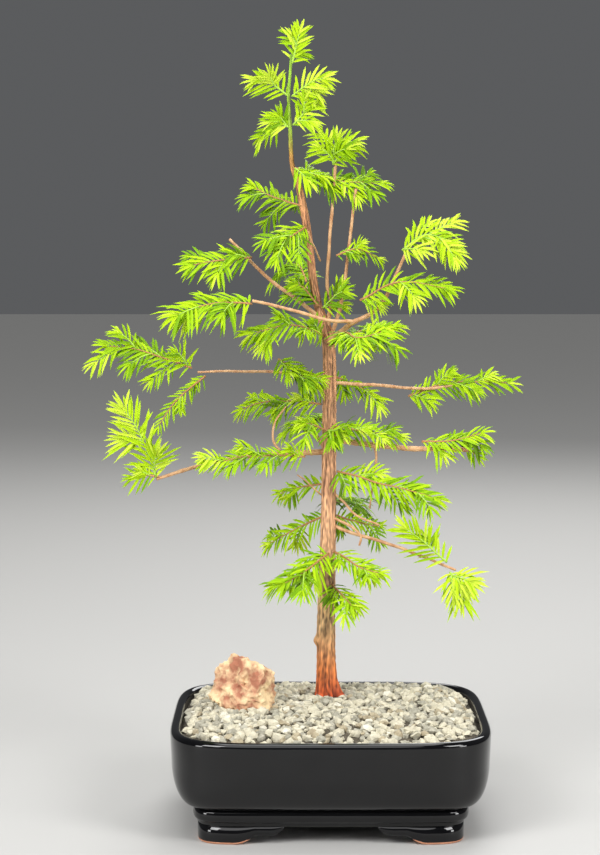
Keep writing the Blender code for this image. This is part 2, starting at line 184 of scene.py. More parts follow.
def tube(line: Points, radius: Points, sides: int) -> tuple[Points, list]:
    """A tube along a line: a circle of each point's radius, square to the line, closed at its ends.

    Args:
        line: points along the middle.
        radius: one radius per point, or one per point and side.
        sides: how many points are in each circle.

    Returns:
        The points and the faces.
    """
    steep = abs(unit(line[-1] - line[0])[2]) > 0.9
    _, normal, side = frames_along(line, np.array([1.0, 0, 0] if steep else [0, 0, 1.0]))
    turn = ring(sides)
    radius = np.broadcast_to(radius.reshape(len(line), -1), (len(line), sides))[:, :, None]
    around = np.cos(turn)[None, :, None] * side[:, None] + np.sin(turn)[None, :, None] * normal[:, None]
    points = (line[:, None] + radius * around).reshape(-1, 3)
    return points, capped_faces(len(line), sides)


def joined(parts: list) -> tuple[Points, list]:
    """Several (points, faces) pairs as one pair."""
    points, faces, offset = [], [], 0
    for own_points, own_faces in parts:
        points.append(own_points)
        faces += [[corner + offset for corner in face] for face in own_faces]
        offset += len(own_points)
    return np.concatenate(points), faces


def outline(width: float, depth: float, squareness: float, sides: int) -> Points:
    """A superellipse: each coordinate is a power of a cosine or sine, so corners come out round."""
    turn = ring(sides)
    power = 2.0 / squareness
    across = np.sign(np.cos(turn)) * np.abs(np.cos(turn)) ** power
    along = np.sign(np.sin(turn)) * np.abs(np.sin(turn)) ** power
    return np.stack([0.5 * width * across, 0.5 * depth * along], axis=1)


def rim_outline(inset: float, squareness: float, sides: int) -> Points:
    """The rim's outline drawn in by an inset on every side."""
    return outline(RIM_WIDTH - 2 * inset, RIM_DEPTH - 2 * inset, squareness, sides)


def bed_height(x: Points, y: Points) -> Points:
    """Height of the gravel: a flat-topped dome that falls away near the pot's wall."""
    across = np.abs(x) / (0.5 * RIM_WIDTH - LIP_WIDTH)
    along = np.abs(y) / (0.5 * RIM_DEPTH - LIP_WIDTH)
    dome = np.clip(1.0 - across**BED_SQUARENESS, 0.0, 1.0) * np.clip(1.0 - along**BED_SQUARENESS, 0.0, 1.0)
    return BED_EDGE + (BED_CROWN - BED_EDGE) * dome


def icosahedron() -> tuple[Points, Points]:
    """The twenty-faced ball: the corners of three golden rectangles, joined to their neighbours.

    Returns:
        Twelve unit points, and twenty triangles that face out.
    """
    golden = 0.5 * (1 + math.sqrt(5))
    corners = [(0, a, b * golden) for a in (-1, 1) for b in (-1, 1)]
    corners += [(b, c, a) for a, b, c in corners] + [(c, a, b) for a, b, c in corners]
    ball = unit(np.array(corners))
    gap = np.linalg.norm(ball[:, None] - ball[None], axis=2)
    near = gap < 1.2
    triangles = []
    for i, j, k in combinations(range(len(ball)), 3):
        if near[i, j] and near[j, k] and near[i, k]:
            out = np.dot(np.cross(ball[j] - ball[i], ball[k] - ball[i]), ball[i])
            triangles.append((i, j, k) if out > 0 else (i, k, j))
    return ball, np.array(triangles)


def add_object(name: str, data: bpy.types.ID) -> bpy.types.Object:
    """Adds an object that shows a mesh, lamp or camera to the scene."""
    made = bpy.data.objects.new(name, data)
    bpy.context.scene.collection.objects.link(made)
    return made


def add_piece(
    name: str,
    points: Points,
    faces: list,
    materials: list,
    nodes: list,
    kinds: Points | None = None,
    smooth: bool = True,
) -> bpy.types.Object:
    """Makes one finished piece, which rides on the root and stands for its nodes.

    Args:
        name: the piece's name.
        points: places in millimetres, from the pot's middle.
        faces: lists of corner numbers.
        materials: the materials, in slot order.
        nodes: the CAD nodes that the piece replaces.
        kinds: the material's number for each face.
        smooth: whether the faces are shaded round.

    Returns:
        The new object.
    """
    mesh = bpy.data.meshes.new(name)
    mesh.from_pydata((points * METRES + POT_MIDDLE).tolist(), [], faces)
    for material in materials:
        mesh.materials.append(material)
    if kinds is not None:
        mesh.polygons.foreach_set("material_index", np.asarray(kinds, np.int32))
    mesh.polygons.foreach_set("use_smooth", np.full(len(faces), smooth))
    mesh.update()
    piece = add_object(name, mesh)
    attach(piece, "root")
    if nodes:
        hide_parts(*nodes)
    LOG.info("%s: %d faces", name, len(faces))
    return piece


def set_inputs(node: bpy.types.Node, values: dict) -> None:
    """Sets a node's own sockets, by name or number, to constants."""
    for entry, value in values.items():
        node.inputs[entry].default_value = value


def wire(tree: bpy.types.NodeTree, *rows: tuple) -> None:
    """Links nodes: each row is a node and its output, then a node and its input."""
    for source, output, target, entry in rows:
        tree.links.new(source.outputs[output], target.inputs[entry])


def mottle_group() -> bpy.types.NodeTree:
    """A node group that mixes two colours by noise, and puts out the noise as a height.

    Returns:
        The group, with inputs Low, High, Scale, Stretch and Sharpness, and outputs Color
        and Height.
    """
    group = bpy.data.node_groups.new("mottle", "ShaderNodeTree")
    make = group.interface.new_socket
    for name, kind in (("Low", "NodeSocketColor"), ("High", "NodeSocketColor")):
        make(name, in_out="INPUT", socket_type=kind)
    for name in ("Scale", "Stretch", "Sharpness"):
        make(name, in_out="INPUT", socket_type="NodeSocketFloat")
    make("Color", in_out="OUTPUT", socket_type="NodeSocketColor")
    make("Height", in_out="OUTPUT", socket_type="NodeSocketFloat")
    nodes = group.nodes
    given, put_out = nodes.new("NodeGroupInput"), nodes.new("NodeGroupOutput")
    place, stretch = nodes.new("ShaderNodeTexCoord"), nodes.new("ShaderNodeCombineXYZ")
    stretched, noise = nodes.new("ShaderNodeVectorMath"), nodes.new("ShaderNodeTexNoise")
    stretched.operation = "MULTIPLY"
    steep, middle = nodes.new("ShaderNodeMath"), nodes.new("ShaderNodeMath")
    steep.operation = "MULTIPLY_ADD"
    middle.operation = "SUBTRACT"
    steep.use_clamp = True
    mix = nodes.new("ShaderNodeMix")
    mix.data_type = "RGBA"
    set_inputs(stretch, {"X": 1.0, "Y": 1.0})
    set_inputs(noise, {"Detail": NOISE_DETAIL})
    set_inputs(middle, {1: NOISE_MIDDLE})
    set_inputs(steep, {2: NOISE_MIDDLE})
    wire(
        group,
        (given, "Stretch", stretch, "Z"),
        (place, "Object", stretched, 0),
        (stretch, 0, stretched, 1),
        (stretched, 0, noise, "Vector"),
        (given, "Scale", noise, "Scale"),
        (noise, "Fac", middle, 0),
        (middle, 0, steep, 0),
        (given, "Sharpness", steep, 1),
        (steep, 0, mix, "Factor"),
        (given, "Low", mix, "A"),
        (given, "High", mix, "B"),
        (mix, "Result", put_out, "Color"),
        (noise, "Fac", put_out, "Height"),
    )
    return group


MOTTLE = mottle_group()


@dataclass(frozen=True)
class Finish:
    """One finish: a plain colour, or two colours mixed by noise, with bump where asked."""

    name: str
    colour: tuple[float, float, float]
    roughness: float
    high: tuple[float, float, float] | None = None
    scale: float = 400.0
    stretch: float = 1.0
    sharpness: float = 3.0
    bump: float = 0.0
    gloss: float = 0.5

    def material(self) -> bpy.types.Material:
        """Builds the finish as a material.

        Returns:
            The new material.
        """
        material = bpy.data.materials.new(self.name)
        material.use_nodes = True
        tree, nodes = material.node_tree, material.node_tree.nodes
        shader = nodes["Principled BSDF"]
        low = (*self.colour, 1.0)
        set_inputs(shader, {"Base Color": low, "Roughness": self.roughness, "Specular IOR Level": self.gloss})
        if self.high is None:
            return material
        mottle = nodes.new("ShaderNodeGroup")
        mottle.node_tree = MOTTLE
        set_inputs(mottle, {"Low": low, "High": (*self.high, 1.0), "Scale": self.scale})
        set_inputs(mottle, {"Stretch": self.stretch, "Sharpness": self.sharpness})
        wire(tree, (mottle, "Color", shader, "Base Color"))
        if self.bump:
            bump = nodes.new("ShaderNodeBump")
            set_inputs(bump, {"Strength": self.bump, "Distance": BUMP_DISTANCE})
            wire(tree, (mottle, "Height", bump, "Height"), (bump, "Normal", shader, "Normal"))
        return material


@dataclass
class Pot:
    """The glazed pot: bowed wall, rounded lip, belt and apron, on four cloud-cut feet."""

    sides: int = 192
    rim_height: float = 67.0
    belt_height: float = 18.0
    foot_reach: float = 50.0
    foot_wall: float = 9.0
    foot_inset: float = 17.5
    foot_stations: int = 81
    foot_flat: float = 19.0
    foot_step: float = 5.5
    foot_step_start: float = 32.0
    foot_step_end: float = 41.0
    foot_edge: float = 1.2
    foot_edge_rise: float = 0.12
    foot_lap: float = 0.3
    arch_gap: float = 1.5
    glaze_edge: float = 3.6
    apron: tuple = ((24.0, 0.0), (17.4, 0.0), (17.0, 0.5))
    belt_foot: tuple = ((16.6, -4.6), (16.4, -4.2))
    belt_inset: float = 16.2
    belt_bulge: float = 1.7
    belt_half: float = 3.8
    bow_foot: float = 4.6
    bow_inset: float = 15.8
    bow_reach: float = 15.2
    bow_rise: float = 24.0
    bow_power: float = 0.9
    upper_wall: tuple = ((0.35, 52.0), (0.1, 58.0))
    lip_rise: float = 3.2
    lip_lap: float = 1.0
    inner_bow: float = 16.0
    inner_heights: tuple = (BED_EDGE - 2.0, 48.0, 34.0, 25.0, FLOOR_TOP)
    glaze: Finish = Finish(
        "black_glaze", (0.0015, 0.0015, 0.002), 0.05, (0.003, 0.003, 0.0035), 60.0, gloss=0.42
    )
    clay: Finish = Finish("bare_clay", (0.42, 0.17, 0.09), 0.85, (0.62, 0.30, 0.18), 900.0, bump=0.3)

    def wall_inset(self, height: float) -> float:
        """How far the inner wall stands inside the rim's outline at a height."""
        down = min(max((BED_EDGE - height) / (BED_EDGE - FLOOR_TOP), 0.0), 1.0)
        return LIP_WIDTH + self.lip_lap + self.inner_bow * down**4

    def profile(self) -> list:
        """The wall's profile from the underside, round the lip and down to the floor.

        Returns:
            Rows of inset, height and share of the belt's squareness.
        """
        belt, rim = self.belt_height, self.rim_height
        rows = [(inset, APRON_HEIGHT + rise, 1.0) for inset, rise in self.apron]
        rows += [(inset, belt + rise, 1.0) for inset, rise in self.belt_foot]
        for turn in np.linspace(-0.5 * math.pi, 0.5 * math.pi, 11):
            rise = self.belt_half * math.sin(turn)
            rows.append((self.belt_inset - self.belt_bulge * math.cos(turn), belt + rise, 1.0))
        rows.append((self.belt_inset + 0.1, belt + self.belt_half + 0.3, 1.0))
        for turn in np.linspace(0.0, 0.5 * math.pi, 18):
            out, up = math.sin(turn), 1.0 - math.cos(turn)
            inset = self.bow_inset - self.bow_reach * out**self.bow_power
            rows.append((inset, belt + self.bow_foot + self.bow_rise * up, 1.0 - out))
        rows += [(inset, height, 0.0) for inset, height in self.upper_wall]
        reach = 0.5 * LIP_WIDTH
        for turn in np.linspace(0.0, math.pi, 15):
            rise = self.lip_rise * (math.sin(turn) - 1.0)
            rows.append((reach - reach * math.cos(turn), rim + rise, 0.0))
        rows += [(self.wall_inset(height), height, 0.0) for height in self.inner_heights]
        return rows

    def body(self) -> tuple[Points, list]:
        """The bowl as one surface: the profile carried round a superellipse.

        Returns:
            The points and the faces.
        """
        rings = []
        for inset, height, low in self.profile():
            squareness = RIM_SQUARENESS + low * (BELT_SQUARENESS - RIM_SQUARENESS)
            flat = rim_outline(inset, squareness, self.sides)
            rings.append(np.column_stack([flat, np.full(self.sides, height)]))
        return np.concatenate(rings), capped_faces(len(rings), self.sides)

    def foot_lift(self, along: Points) -> Points:
        """Height of a foot's underside along it: flat, a soft step, then an arch."""
        first = np.clip((along - self.foot_flat) / (self.foot_step_start - self.foot_flat), 0, 1)
        second = np.clip((along - self.foot_step_end) / (self.foot_reach - self.foot_step_end), 0, 1)
        return self.foot_step * first**2 + (APRON_HEIGHT - self.arch_gap - self.foot_step) * second**2

    def foot(self, side: int, end: int) -> tuple[Points, list]:
        """One foot: a wall bent round its corner, with rounded edges under it.

        Args:
            side: -1 for the left, 1 for the right.
            end: -1 for the front, 1 for the back.

        Returns:
            The points and the faces.
        """
        steps = 720
        curve = rim_outline(self.foot_inset, BELT_SQUARENESS, 4 * steps)[: steps + 1]
        walked = np.concatenate([[0.0], np.cumsum(np.linalg.norm(np.diff(curve, axis=0), axis=1))])
        diagonal = np.abs(curve[:, 0] - curve[:, 1] - 0.5 * (RIM_WIDTH - RIM_DEPTH))
        corner = walked[int(np.argmin(diagonal))]
        along = np.linspace(-self.foot_reach, self.foot_reach, self.foot_stations)
        outer = np.column_stack([np.interp(corner + along, walked, curve[:, k]) for k in (0, 1)])
        run = unit(np.gradient(outer, axis=0))
        inward = np.column_stack([-run[:, 1], run[:, 0]])
        lift = self.foot_lift(np.abs(along))
        high = APRON_HEIGHT + self.foot_lap - lift
        section = [(0.0, 1.0), (0.0, 0.5)]
        for turn in np.linspace(0.0, 0.5 * math.pi, 5):
            rise = self.foot_edge_rise * (1.0 - math.sin(turn))
            section.append((self.foot_edge * (1.0 - math.cos(turn)), rise))
        section += [(0.3 * self.foot_wall, 0.0), (self.foot_wall - self.foot_edge, 0.0)]
        section += [(self.foot_wall, self.foot_edge_rise), (self.foot_wall, 1.0)]
        rows = [np.column_stack([outer + reach * inward, lift + share * high]) for reach, share in section]
        rings = np.stack(rows, axis=1)
        rings[:, :, 0] *= side
        rings[:, :, 1] *= end
        if side * end < 0:
            rings = rings[::-1]
        return rings.reshape(-1, 3), capped_faces(self.foot_stations, len(section))

    def build(self) -> None:
        """Adds the bowl and the four feet, glazed down to the bare edge of the clay."""
        points, faces = self.body()
        add_piece("pot", points, faces, [self.glaze.material()], ["pot_body"])
        corners = [(side, end) for end in (-1, 1) for side in (-1, 1)]
        points, faces = joined([self.foot(side, end) for side, end in corners])
        low = np.array([points[face, 2].mean() for face in faces]) < self.glaze_edge
        names = ["foot_front_left", "foot_front_right", "foot_back_left", "foot_back_right"]
        finishes = [self.glaze.material(), self.clay.material()]
        add_piece("feet", points, faces, finishes, names, low)


@dataclass
class Bed:
    """The gravel: angular grains in a few colours, over a grit surface coloured dark as painted shade that
    shows between them.
    """

    spacing: float = 5.4
    size: float = 3.7
    size_spread: tuple = (0.55, 1.25)
    side_spread: tuple = (0.6, 1.2)
    corner_spread: tuple = (0.62, 1.15)
    flatness: float = 0.8
    level_spread: tuple = (-1.3, 1.2)
    sunk: float = 0.9
    shares: tuple = (0.55, 0.33, 0.04, 0.08)
    wall_gap: float = 3.2
    trunk_room: float = 8.5
    layers: int = 2
    grit_foot: float = 50.0
    grit_inset: float = 7.0
    grit_drop: float = 1.6
    grit_rings: int = 24
    grit_sides: int = 96
    seed: int = 11
    # The grit's dark colour is painted shade for the gaps between the grains.
    grit: Finish = Finish("grit_painted_shade", (0.045, 0.036, 0.024), 0.95, (0.12, 0.10, 0.07), 700.0, bump=0.5)
    grains: dict = field(
        default_factory=lambda: {
            Grain.CREAM: Finish("grain_cream", (0.44, 0.405, 0.30), 0.9, (0.63, 0.585, 0.45), 350.0),
            Grain.GREY: Finish("grain_grey", (0.26, 0.245, 0.19), 0.9, (0.44, 0.415, 0.33), 350.0),
            Grain.WHITE: Finish("grain_white", (0.56, 0.53, 0.43), 0.85, (0.72, 0.69, 0.58), 350.0),
            Grain.TAN: Finish("grain_tan", (0.28, 0.23, 0.15), 0.9, (0.43, 0.37, 0.25), 350.0),
        }
    )

    def surface(self) -> tuple[Points, list]:
        """The grit under the grains, coloured dark as painted shade between them: rings that close on the
        bed's crown.
        """
        rings = []
        edge = rim_outline(self.grit_inset, RIM_SQUARENESS, self.grit_sides)
        for share in np.linspace(1.0, 0.02, self.grit_rings):
            flat = edge * share
            rings.append(np.column_stack([flat, bed_height(flat[:, 0], flat[:, 1]) - self.grit_drop]))
        points = np.concatenate([rings[0] * (1, 1, 0) + (0, 0, self.grit_foot), *rings])
        faces = grid_faces(len(rings) + 1, self.grit_sides)
        faces.append(list(range(len(points) - self.grit_sides, len(points))))
        return points, faces

    def places(self, draw: np.random.Generator) -> Points:
        """Grain places: a grid with each point moved at random, kept inside the pot's wall."""
        inset = LIP_WIDTH + self.wall_gap
        wide, deep = 0.5 * RIM_WIDTH - inset, 0.5 * RIM_DEPTH - inset
        x, y = np.meshgrid(np.arange(-wide, wide, self.spacing), np.arange(-deep, deep, self.spacing))
        flat = np.stack([x.ravel(), y.ravel()], axis=1)
        flat = flat + draw.uniform(-0.5, 0.5, flat.shape) * self.spacing
        edge = (np.abs(flat[:, 0]) / wide) ** RIM_SQUARENESS + (np.abs(flat[:, 1]) / deep) ** RIM_SQUARENESS
        clear = np.linalg.norm(flat - TRUNK_PLACE, axis=1) > self.trunk_room
        return flat[(edge < 0.97) & clear]

    def build(self) -> None:
        """Adds the grit surface and all the grains, each a jittered twenty-faced lump."""
        points, faces = self.surface()
        add_piece("grit", points, faces, [self.grit.material()], ["gravel_bed"])
        draw = np.random.default_rng(self.seed)
        ball, triangles = icosahedron()
        flat = np.concatenate([self.places(draw) for _ in range(self.layers)])
        count, corners = len(flat), len(ball)
        size = self.size * draw.uniform(*self.size_spread, (count, 1))
        size = size * draw.uniform(*self.side_spread, (count, 3))
        lumps = ball[None] * draw.uniform(*self.corner_spread, (count, corners, 1)) * size[:, None]
        spin = draw.normal(size=(count, 2, 3))
        first = unit(spin[:, 0])
        second = unit(np.cross(first, spin[:, 1]))
        axes = np.stack([first, second, np.cross(first, second)], axis=1)
        lumps = np.einsum("nvk,nkc->nvc", lumps, axes) * (1.0, 1.0, self.flatness)
        level = bed_height(flat[:, 0], flat[:, 1]) - self.sunk + draw.uniform(*self.level_spread, count)
        lumps += np.column_stack([flat, level])[:, None]
        faces = (triangles[None] + corners * np.arange(count)[:, None, None]).reshape(-1, 3)
        kinds = np.repeat(draw.choice(len(Grain), count, p=self.shares), len(triangles))
        materials = [self.grains[grain].material() for grain in Grain]
        add_piece("gravel", lumps.reshape(-1, 3), faces.tolist(), materials, [], kinds, False)


@dataclass
class Stone:
    """A craggy pink and cream stone: a swollen ball cut flat here and there, low at its left."""

    place: tuple = (-55.0, -1.0)
    size: tuple = (44.0, 36.0, 37.0)
    sunk: float = 6.0
    shoulder: float = 0.42
    flare: float = 0.45
    lumps: tuple = (0.16, 0.13, 0.10, 0.07, 0.05, 0.05)
    cuts: int = 16
    cut_depth: tuple = (0.6, 0.85)
    ridges: tuple = ((3, 2.4, 14.0), (4, 1.5, 6.5))
    pits: tuple = ((5, 0.5, 3.0), (6, 0.2, 1.4))
    fullness: float = 1.6
    seed: int = 5
    rows: int = 110
    columns: int = 200
    finish: Finish = Finish(
        "pink_stone", (0.38, 0.15, 0.085), 0.85, (0.82, 0.62, 0.36), 95.0, sharpness=5.0, bump=0.9
    )

    def build(self) -> None:
        """Adds the stone: a sphere's grid swollen by waves, cut by planes, then given ridges."""
        fall = np.linspace(0.02, math.pi - 0.02, self.rows)[:, None]
        turn = ring(self.columns)[None]
        across = [np.sin(fall) * np.cos(turn), np.sin(fall) * np.sin(turn)]
        points = np.stack([*across, np.cos(fall) + 0 * turn], -1).reshape(-1, 3)
        draw = np.random.default_rng(self.seed)
        swell = np.ones(len(points))
        for share in self.lumps:
            way = draw.normal(size=3) * 0.9 / share**0.35
            swell += share * np.sin(points @ way + draw.uniform(0.0, 6.0))
        points = points * swell[:, None]
        for _ in range(self.cuts):
            way = unit(draw.normal(size=3))
            far = points @ way
            past = np.clip(far - draw.uniform(*self.cut_depth) * far.max(), 0.0, None)
            points = points - np.outer(past, way)
        points[:, :2] *= 1.0 + self.flare * np.clip(-points[:, 2:], 0.0, 1.0)
        left = np.clip(-0.25 - points[:, 0], 0.0, 0.5) / 0.5
        points[:, 2] -= self.shoulder * left * np.clip(points[:, 2], 0.0, 1.0)
        low, high = points.min(axis=0), points.max(axis=0)
        points = (points - 0.5 * (low + high)) / (high - low) * np.array(self.size)
        rough = np.full(len(points), -self.fullness)
        for seed, depth, wavelength in self.ridges:
            rough += depth * np.abs(random_waves(points, seed, wavelength))
        for seed, depth, wavelength in self.pits:
            rough += depth * random_waves(points, seed, wavelength)
        points = points - unit(points) * rough[:, None]
        points += (*self.place, BED_CROWN + 0.5 * self.size[2] - self.sunk)
        faces = [face[::-1] for face in capped_faces(self.rows, self.columns)]
        add_piece("rock", points, faces, [self.finish.material()], ["stone"])


@dataclass(frozen=True)
class Limb:
    """One limb: its node (a twig's plain name), its end radii and the points on its way."""

    node: str
    base_radius: float
    tip_radius: float
    points: tuple


@dataclass
class Wood:
    """The trunk with its peeling bark, and the boughs and stems that leave it."""

    trunk_line: tuple = (
        (-1.5, 25.0, TRUNK_FOOT, 6.2),
        (-2.0, 25.0, 80.0, 6.1),
        (-2.1, 25.0, 115.0, 5.9),
        (-1.5, 24.6, 148.0, 5.4),
        (-0.6, 24.4, 190.0, 4.9),
        (-0.3, 24.7, 240.0, 4.6),
        (-0.1, 25.0, 291.0, 4.3),
        (-2.3, 25.2, 311.0, 3.9),
        (-7.6, 25.4, 327.0, 2.9),
        (-11.1, 25.2, 346.0, 2.6),
        (-12.6, 24.8, 360.0, 2.6),
        (-16.0, 24.4, 384.0, 2.6),
        (-20.2, 24.0, 404.0, 2.1),
        (-24.3, 23.8, 418.0, 1.5),
        (-25.6, 23.8, 445.0, 1.1),
        (-26.5, 24.0, 460.0, 1.0),
        (-25.6, 24.0, 471.0, 0.9),
        (-24.6, 24.0, 486.0, 0.8),
    )
    roots: tuple = ((-12.0, 6.8, 20.0), (205.0, 3.0, 26.0), (95.0, 3.6, 30.0), (285.0, 1.4, 24.0))
    root_rise: float = 8.0
    knots: tuple = ((250.0, 116.0, 4.0, 1.1), (185.0, 108.0, 3.0, 2.2), (300.0, 150.0, 3.0, 0.9))
    stations: int = 900
    sides: int = 96
    limbs: tuple = (
        Limb("stem_second", 1.4, 0.9, ((-1, 24, 311), (0.6, 21, 331), (-1.6, 20, 344), (3.6, 20, 418))),
        Limb("stem_third", 1.3, 0.9, ((0, 24, 303), (7.6, 19, 330), (10.8, 19, 352), (16.6, 20, 401))),
        Limb(
            "bough_left_stub", 1.5, 0.8, ((-3, 25, 316), (-21, 20, 330.5), (-41.5, 15, 346), (-63.5, 10, 369))
        ),
        Limb("bough_left_light", 1.2, 0.9, ((15, -5, 317), (-4, -9, 319), (-24, -13, 325), (-49, -16, 331))),
        Limb("bough_left_long", 1.1, 0.7, ((0, 25, 280), (-20, 28, 282), (-50, 34, 283.5), (-86, 40, 282.5))),
        Limb("bough_left_low", 2.0, 1.0, ((0, 25, 232), (-25, 19, 231), (-65, 8, 229), (-110, -6, 218))),
        Limb(
            "bough_right_upper", 1.9, 0.9, ((-1, 22, 303), (13, -4, 316), (31.5, -10, 328), (46.5, -16, 360))
        ),
        Limb("bough_right_long", 1.2, 0.8, ((0, 24, 277), (25, 30, 275), (60, 38, 272), (90, 45, 274))),
        Limb(
            "bough_right_thick", 2.1, 1.5, ((0, 25, 241.5), (15, 22, 238.4), (50, 16, 235), (88.5, 10, 234.8))
        ),
        Limb("bough_right_low", 1.3, 0.8, ((0, 25, 185), (14, 19, 180), (45, 5, 172), (79, -16, 161))),
        Limb("bough_back_upper", 1.6, 1.0, ((-1, 25, 305), (-6, 42, 323), (-16, 66, 337), (-20, 82, 341))),
        Limb("bough_back_middle", 1.7, 1.0, ((0, 25, 222), (-2, 50, 229), (-8, 76, 237), (-15, 92, 239))),
    )
    twigs: tuple = (
        Limb("hanging", 0.9, 0.5, ((29, 20, 236), (30, 18, 228), (28, 17, 214), (26, 15, 196))),
        Limb("fork_left", 0.9, 0.6, ((2, 24, 206), (9, 20, 200), (17, 14, 192), (32, 10, 186))),
        Limb("riser", 0.9, 0.5, ((-30, 17, 231), (-36, 16, 240), (-35, 17, 252), (-28, 18, 262))),
        Limb("stub_low", 1.0, 0.7, ((1, 23, 190), (14, 18, 184), (20, 15, 178), (19, 14, 172))),
        Limb("thin_left", 0.6, 0.4, ((-4, 24, 203), (-10, 20, 208), (-16, 17, 214), (-21, 14, 218))),
        Limb("thin_front", 0.6, 0.4, ((-6, 20, 355), (-9, 12, 362), (-12, 8, 368), (-14, 6, 374))),
    )
    bark_levels: tuple = (
        (0.0, (0.52, 0.07, 0.012)),
        (0.05, (0.60, 0.19, 0.05)),
        (0.11, (0.66, 0.40, 0.18)),
        (0.20, (0.62, 0.34, 0.17)),
        (0.34, (0.60, 0.30, 0.15)),
        (0.60, (0.54, 0.25, 0.11)),
        (0.78, (0.50, 0.22, 0.09)),
        (0.845, (0.42, 0.20, 0.04)),
        (0.885, (0.30, 0.46, 0.03)),
        (1.0, (0.30, 0.55, 0.03)),
    )
    bark_roughness: float = 0.7
    streak_low: tuple = (0.55, 0.50, 0.48)
    streak_high: tuple = (1.7, 1.8, 1.9)
    streak_scale: float = 520.0
    streak_stretch: float = 0.12
    crack_shade: float = 0.25
    girth: float = 6.0
    grain_run: float = 0.11
    relief_waves: tuple = ((21, 1.0, 2.6), (22, 4.0, 2.2), (23, 2.0, 0.9))
    bark_depth: float = 0.42
    wander: float = 0.25
    bud_swell: float = 0.16
    young: Finish = Finish(
        "young_bark", (0.42, 0.19, 0.075), 0.55, (0.66, 0.40, 0.20), 300.0, 0.5, bump=0.3
    )

    def bark_material(self) -> bpy.types.Material:
        """The trunk's bark: orange foot, tan middle, green leader, streaked, with painted shade darkening its
        cracks.

        Returns:
            The new material.
        """
        material = bpy.data.materials.new("peeling_bark")
        material.use_nodes = True
        tree, nodes = material.node_tree, material.node_tree.nodes
        shader = nodes["Principled BSDF"]
        set_inputs(shader, {"Roughness": self.bark_roughness})
        place, split = nodes.new("ShaderNodeTexCoord"), nodes.new("ShaderNodeSeparateXYZ")
        height, ramp = nodes.new("ShaderNodeMapRange"), nodes.new("ShaderNodeValToRGB")
        top = self.trunk_line[-1][2]
        set_inputs(height, {"From Min": TRUNK_FOOT * METRES, "From Max": top * METRES})
        for level, colour in self.bark_levels[1:-1]:
            ramp.color_ramp.elements.new(level).color = (*colour, 1.0)
        for end in (0, -1):
            ramp.color_ramp.elements[end].color = (*self.bark_levels[end][1], 1.0)
        streak = nodes.new("ShaderNodeGroup")
        streak.node_tree = MOTTLE
        set_inputs(streak, {"Low": (*self.streak_low, 1.0), "High": (*self.streak_high, 1.0)})
        set_inputs(streak, {"Scale": self.streak_scale, "Stretch": self.streak_stretch, "Sharpness": 3.0})
        # Painted shade: the bark's relief darkens its colour in the cracks, down to crack_shade at the
        # deepest.
        relief, deep = nodes.new("ShaderNodeAttribute"), nodes.new("ShaderNodeMapRange")
        relief.attribute_name = "relief"
        set_inputs(deep, {"From Min": -1.0, "From Max": 0.4, "To Min": self.crack_shade})
        tint, dark = nodes.new("ShaderNodeMix"), nodes.new("ShaderNodeMix")
        for mix in (tint, dark):
            mix.data_type = "RGBA"
            mix.blend_type = "MULTIPLY"
            set_inputs(mix, {"Factor": 1.0})
        wire(
            tree,
            (place, "Object", split, 0),
            (split, "Z", height, "Value"),
            (height, "Result", ramp, "Fac"),
            (ramp, "Color", tint, "A"),
            (streak, "Color", tint, "B"),
            (tint, "Result", dark, "A"),
            (relief, "Fac", deep, "Value"),
            (deep, "Result", dark, "B"),
            (dark, "Result", shader, "Base Color"),
        )
        return material

    def build_trunk(self) -> None:
        """Adds the trunk: rings with root lobes, long bark strips and a few knots."""
        line = smooth_line([station[:3] for station in self.trunk_line], self.stations)
        radius = np.interp(line[:, 2], *np.array(self.trunk_line)[:, 2:].T)
        turn = ring(self.sides)
        height = line[:, 2:] + 0 * turn
        spread = np.zeros_like(height)
        for heading, reach, width in self.roots:
            off = (np.degrees(turn) - heading + 180.0) % 360.0 - 180.0
            rise = np.exp(-(height - TRUNK_FOOT) / self.root_rise)
            spread += reach * rise * np.exp(-((off / width) ** 2))
        for heading, level, width, reach in self.knots:
            off = np.radians((np.degrees(turn) - heading + 180.0) % 360.0 - 180.0) * self.girth
            spread += reach * np.exp(-(off**2 + (height - level) ** 2) / width**2)
        around = [self.girth * np.cos(turn) + 0 * height, self.girth * np.sin(turn) + 0 * height]
        skin = np.stack([*around, height * self.grain_run], -1)
        strips, flakes, fine = (
            random_waves(skin * (1, 1, squash), seed, wavelength)
            for seed, squash, wavelength in self.relief_waves
        )
        relief = 0.9 * np.minimum(strips, 0.35) + 0.45 * flakes + 0.35 * fine
        depth = self.bark_depth * np.clip(radius / self.girth, 0.12, 1.0) ** 1.5
        size = radius[:, None] + spread + depth[:, None] * (relief - 0.1)
        points = np.repeat(line[:, None, :], self.sides, axis=1)
        points[:, :, 0] += size * np.cos(turn)
        points[:, :, 1] += size * np.sin(turn)
        faces = capped_faces(self.stations, self.sides)
        bark = [self.bark_material()]
        piece = add_piece("bark_trunk", points.reshape(-1, 3), faces, bark, ["trunk"])
        piece.data.attributes.new("relief", "FLOAT", "POINT").data.foreach_set("value", relief.ravel())

    def build(self) -> None:
        """Adds the trunk, then the boughs and stems, then the bare twigs."""
        self.build_trunk()
        groups = (("bark_boughs", self.limbs, 60, 18), ("bare_twigs", self.twigs, 24, 8))
        for name, limbs, stations, sides in groups:
            parts = []
            for seed, limb in enumerate(limbs):
                line = smooth_line(limb.points, stations)
                bends = [random_waves(line, seed * 3 + axis, 22.0) for axis in range(3)]
                line = line + self.wander * np.stack(bends, 1)
                radius = np.linspace(limb.base_radius, limb.tip_radius, stations)
                buds = 1.0 + self.bud_swell * np.maximum(0, np.sin(np.arange(stations) * 0.9 + seed)) ** 6
                radius = radius * buds
                spread = 1.0 + 0.05 * random_waves(line, seed + 40, 3.0)
                parts.append(tube(line, radius * spread, sides))
            points, faces = joined(parts)
            nodes = [limb.node for limb in limbs] if limbs is self.limbs else []
            add_piece(name, points, faces, [self.young.material()], nodes)


